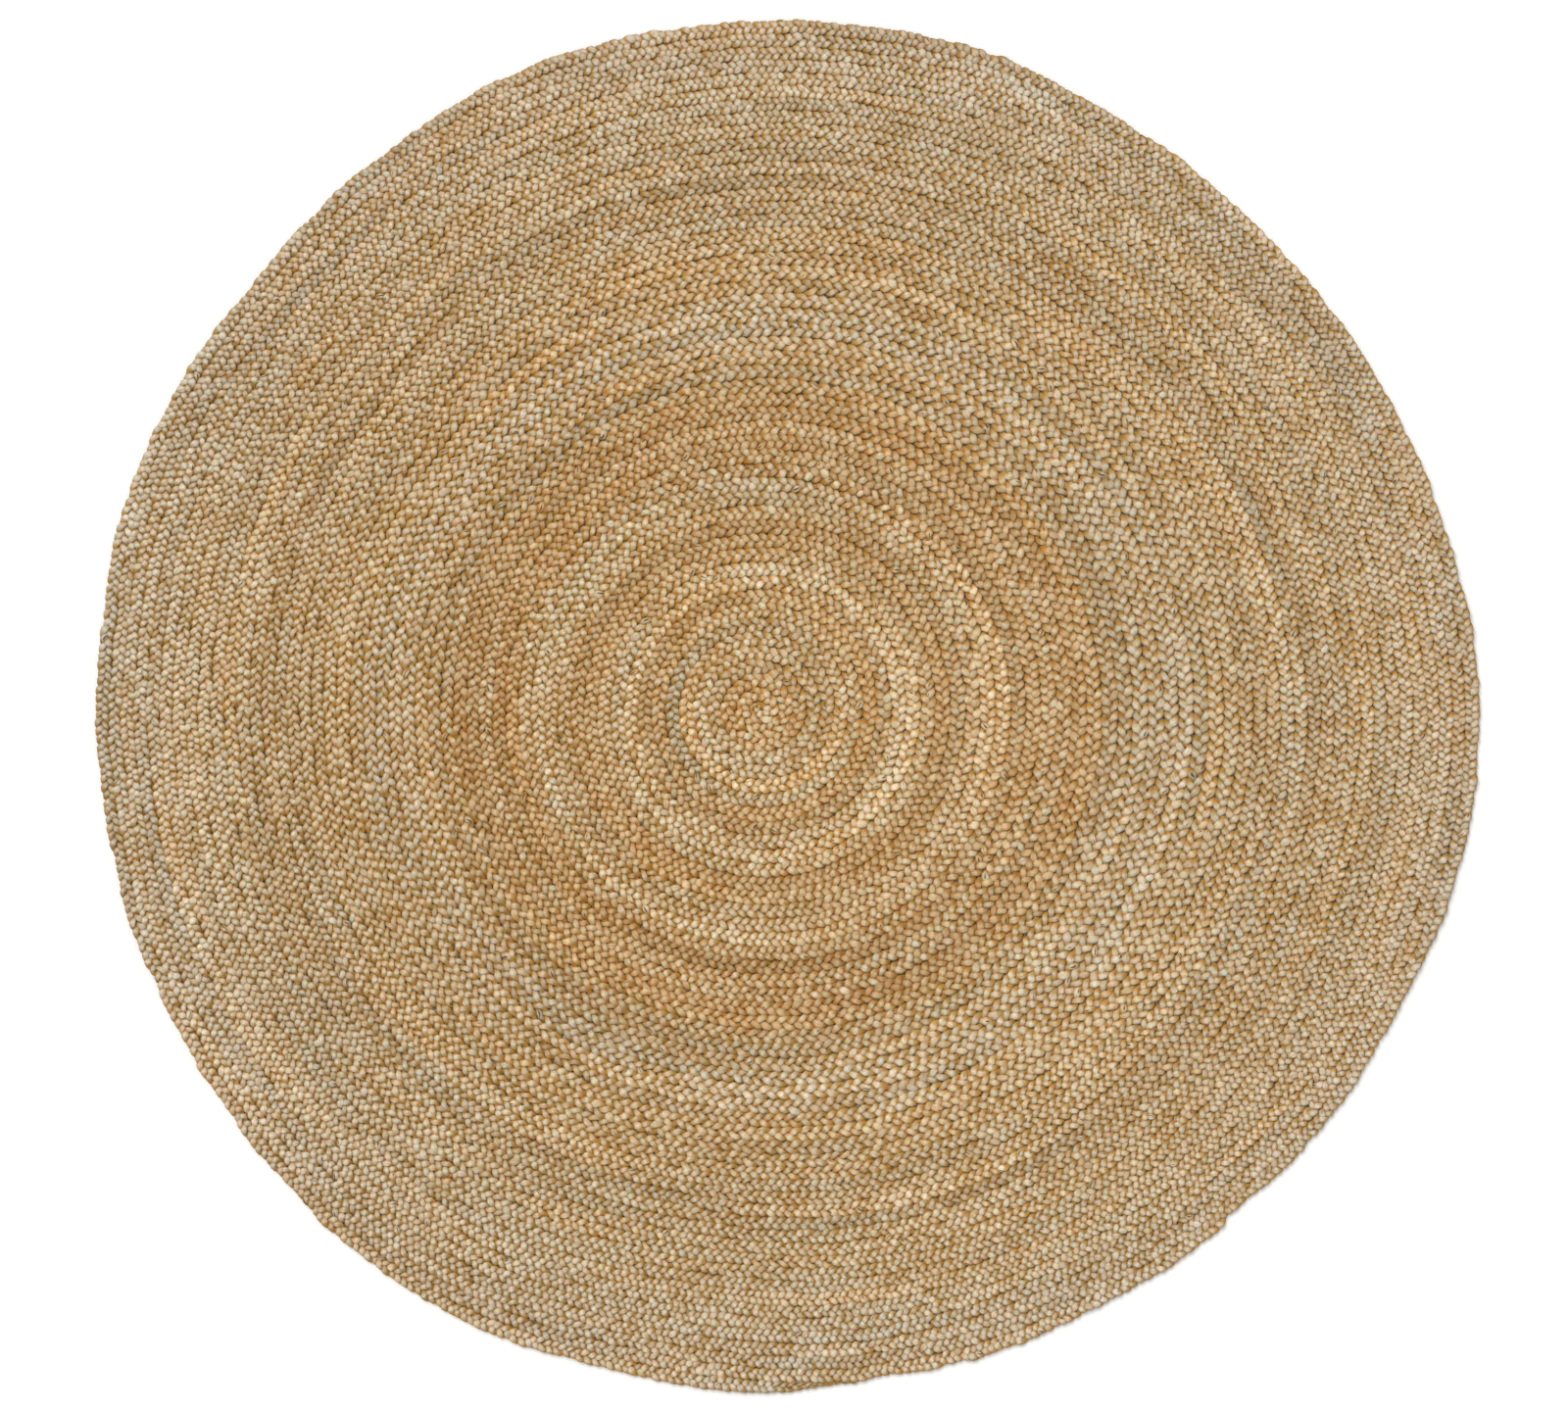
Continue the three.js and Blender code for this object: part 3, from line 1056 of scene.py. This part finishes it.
class RUG_OT_sewing_thread(bpy.types.Operator):
    """Make the thread that zigzags in the joint between two turns"""

    bl_idname = "rug.sewing_thread"
    bl_label = "Sewing thread"

    def execute(self, context):
        winding = Winding(context.scene.rug_sizes)
        sizes = context.scene.rug_sizes
        tree = Maker.get("thread", thread_tree)
        material = Maker.get("thread_material", thread_material)
        first_step = math.ceil((THREAD_START_TURN - START_TURN) * FACETS_PER_TURN)
        for i, (first, last) in enumerate(
            winding.shared(first_step, winding.steps, THREAD_COUNT)
        ):
            number = f"{i + 1:02d}"
            turns = np.linspace(first, last, int((last - first) * winding.POINTS_PER_TURN))
            joint = winding.joint(turns)
            run = winding.run_of(joint)
            stops = np.arange(0.002, run[-1] - 0.001, sizes.stitch / 4)
            here = np.interp(stops, run, turns)
            place = np.zeros((len(stops), 3))
            place[:, :2] = winding.joint(here)
            across = np.zeros_like(place)
            outward = winding.joint(here + 1) - winding.joint(here - 1)
            outward /= np.linalg.norm(outward, axis=1)[:, None]
            across[:, :2] = outward
            piece = grown(
                "joint_stitching_" + number,
                [
                    {
                        "place": place,
                        "phase": FULL_TURN * stops / sizes.stitch,
                        "size": np.ones(len(stops)),
                        "rise": winding.lift(place[:, :2]),
                        "across": across,
                    }
                ],
                tree,
                {
                    "Diameter": sizes.thread_diameter,
                    "Sway": THREAD_SWAY,
                    "Dip": THREAD_DIP,
                    "Sides": 3,
                    "Material": material,
                },
            )
            drop_attributes(piece.data, "phase", "size", "rise", "across", "around")
            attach(piece, "root")
            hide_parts("sewing_thread_" + number)
        return {"FINISHED"}


class RUG_OT_stray_fibres(bpy.types.Operator):
    """Make the loose jute fibres that stand off the plait"""

    bl_idname = "rug.stray_fibres"
    bl_label = "Stray fibres"

    def execute(self, context):
        winding = Winding(context.scene.rug_sizes)
        sizes = context.scene.rug_sizes
        draw = np.random.default_rng(FIBRE_SEED)
        tree = Maker.get("thread", thread_tree)
        material = Maker.jute("straw")
        lines = []
        steps = np.linspace(0, 1, FIBRE_POINTS)
        for _ in range(sizes.fibre_count):
            run = draw.uniform(0.1, winding.run[-1] - 0.1)
            start = winding.at(np.array([run]), winding.line)[0]
            out = winding.at(np.array([run]), winding.across)[0]
            half_width = winding.at(np.array([run]), winding.half_width)[0]
            start = start + out * draw.uniform(-0.7, 0.7) * half_width
            heading = draw.uniform(0, FULL_TURN)
            reach = draw.uniform(0.006, 0.02)
            bend = draw.uniform(-1.6, 1.6)
            turn = heading + bend * steps
            path = np.stack([np.cos(turn), np.sin(turn)], 1) * reach / (FIBRE_POINTS - 1)
            place = np.zeros((FIBRE_POINTS, 3))
            place[:, :2] = start + np.cumsum(path, 0)
            hump = 0.0035 * np.sin(math.pi * steps) * draw.uniform(0.4, 1)
            rise = winding.lift(start[None])[0] + sizes.thickness * 0.42 + hump
            lines.append(
                {
                    "place": place,
                    "phase": np.zeros(FIBRE_POINTS),
                    "size": np.array([0.7, 1, 1, 1, 0.8, 0.5]),  # thinned towards its ends
                    "rise": rise,
                    "across": np.zeros((FIBRE_POINTS, 3)),
                    "yarn": np.tile(FIBRE_TONE, (FIBRE_POINTS, 1)),
                    "shade": np.full(FIBRE_POINTS, draw.uniform(0, 1)),
                    # Crest and middle at 1 give the fibres the painted highlight and none of the
                    # painted shade
                    "crest": np.ones(FIBRE_POINTS),
                    "middle": np.ones(FIBRE_POINTS),
                    "edge": np.zeros(FIBRE_POINTS),
                }
            )
        inputs = {
            "Diameter": sizes.fibre_diameter,
            "Sway": 0.0,
            "Dip": 0.0,
            "Sides": 3,
            "Material": material,
        }
        piece = grown("stray_fibres", lines, tree, inputs)
        drop_attributes(piece.data, "phase", "size", "rise", "across", "around")
        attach(piece, "root")
        return {"FINISHED"}


class RUG_OT_stage(bpy.types.Operator):
    """Make the floor, the light and the camera over the rug"""

    bl_idname = "rug.stage"
    bl_label = "Stage"

    def execute(self, context):
        scene = context.scene
        mesh = bpy.data.meshes.new("floor")
        reach = FLOOR_REACH
        corners = [(-reach, -reach, 0), (reach, -reach, 0), (reach, reach, 0), (-reach, reach, 0)]
        mesh.from_pydata(corners, [], [(0, 1, 2, 3)])
        mesh.materials.append(floor_material())
        floor = bpy.data.objects.new("floor", mesh)
        scene.collection.objects.link(floor)

        world = bpy.data.worlds.new("soft_room")
        world.use_nodes = True
        sky = world.node_tree.nodes["Background"]
        sky.inputs["Color"].default_value = (1, 1, 1, 1)
        sky.inputs["Strength"].default_value = SKY_STRENGTH
        scene.world = world

        sun = bpy.data.lights.new("soft_window", "SUN")
        sun.energy = SUN_STRENGTH
        sun.angle = math.radians(36)
        sun.color = SUN_TONE
        light = bpy.data.objects.new("soft_window", sun)
        light.rotation_euler = (math.radians(-28), math.radians(-24), 0)
        scene.collection.objects.link(light)

        lens = bpy.data.cameras.new("camera")
        lens.sensor_width = 36.0
        lens.lens = lens.sensor_width * CAMERA_PLACE[2] / VIEW_WIDTH
        lens.clip_end = 100.0
        camera = bpy.data.objects.new("camera", lens)
        camera.location = CAMERA_PLACE
        scene.collection.objects.link(camera)
        scene.camera = camera
        scene.view_settings.view_transform = "Standard"
        return {"FINISHED"}


class RUG_PT_panel(bpy.types.Panel):
    """Lists the rug's pieces and their sizes"""

    bl_idname = "RUG_PT_panel"
    bl_label = "Plaited Jute Rug"
    bl_space_type = "VIEW_3D"
    bl_region_type = "UI"
    bl_category = "Rug"

    def draw(self, context):
        for group in (context.scene.rug_sizes, context.scene.rug_tones):
            column = self.layout.column(align=True)
            for name in group.__annotations__:
                column.prop(group, name)
        for operator in OPERATORS:
            self.layout.operator(operator.bl_idname)


OPERATORS = (
    RUG_OT_stage,
    RUG_OT_plait_lengths,
    RUG_OT_tail,
    RUG_OT_sewing_thread,
    RUG_OT_stray_fibres,
)
CLASSES = (RugSizes, RugTones, *OPERATORS, RUG_PT_panel)


def register():
    for cls in CLASSES:
        bpy.utils.register_class(cls)
    bpy.types.Scene.rug_sizes = bpy.props.PointerProperty(type=RugSizes)
    bpy.types.Scene.rug_tones = bpy.props.PointerProperty(type=RugTones)


def unregister():
    del bpy.types.Scene.rug_tones
    del bpy.types.Scene.rug_sizes
    for cls in reversed(CLASSES):
        bpy.utils.unregister_class(cls)


def main():
    register()
    bpy.ops.rug.stage()
    bpy.ops.rug.plait_lengths()
    bpy.ops.rug.tail()
    bpy.ops.rug.sewing_thread()
    bpy.ops.rug.stray_fibres()


if __name__ == "__main__":
    main()
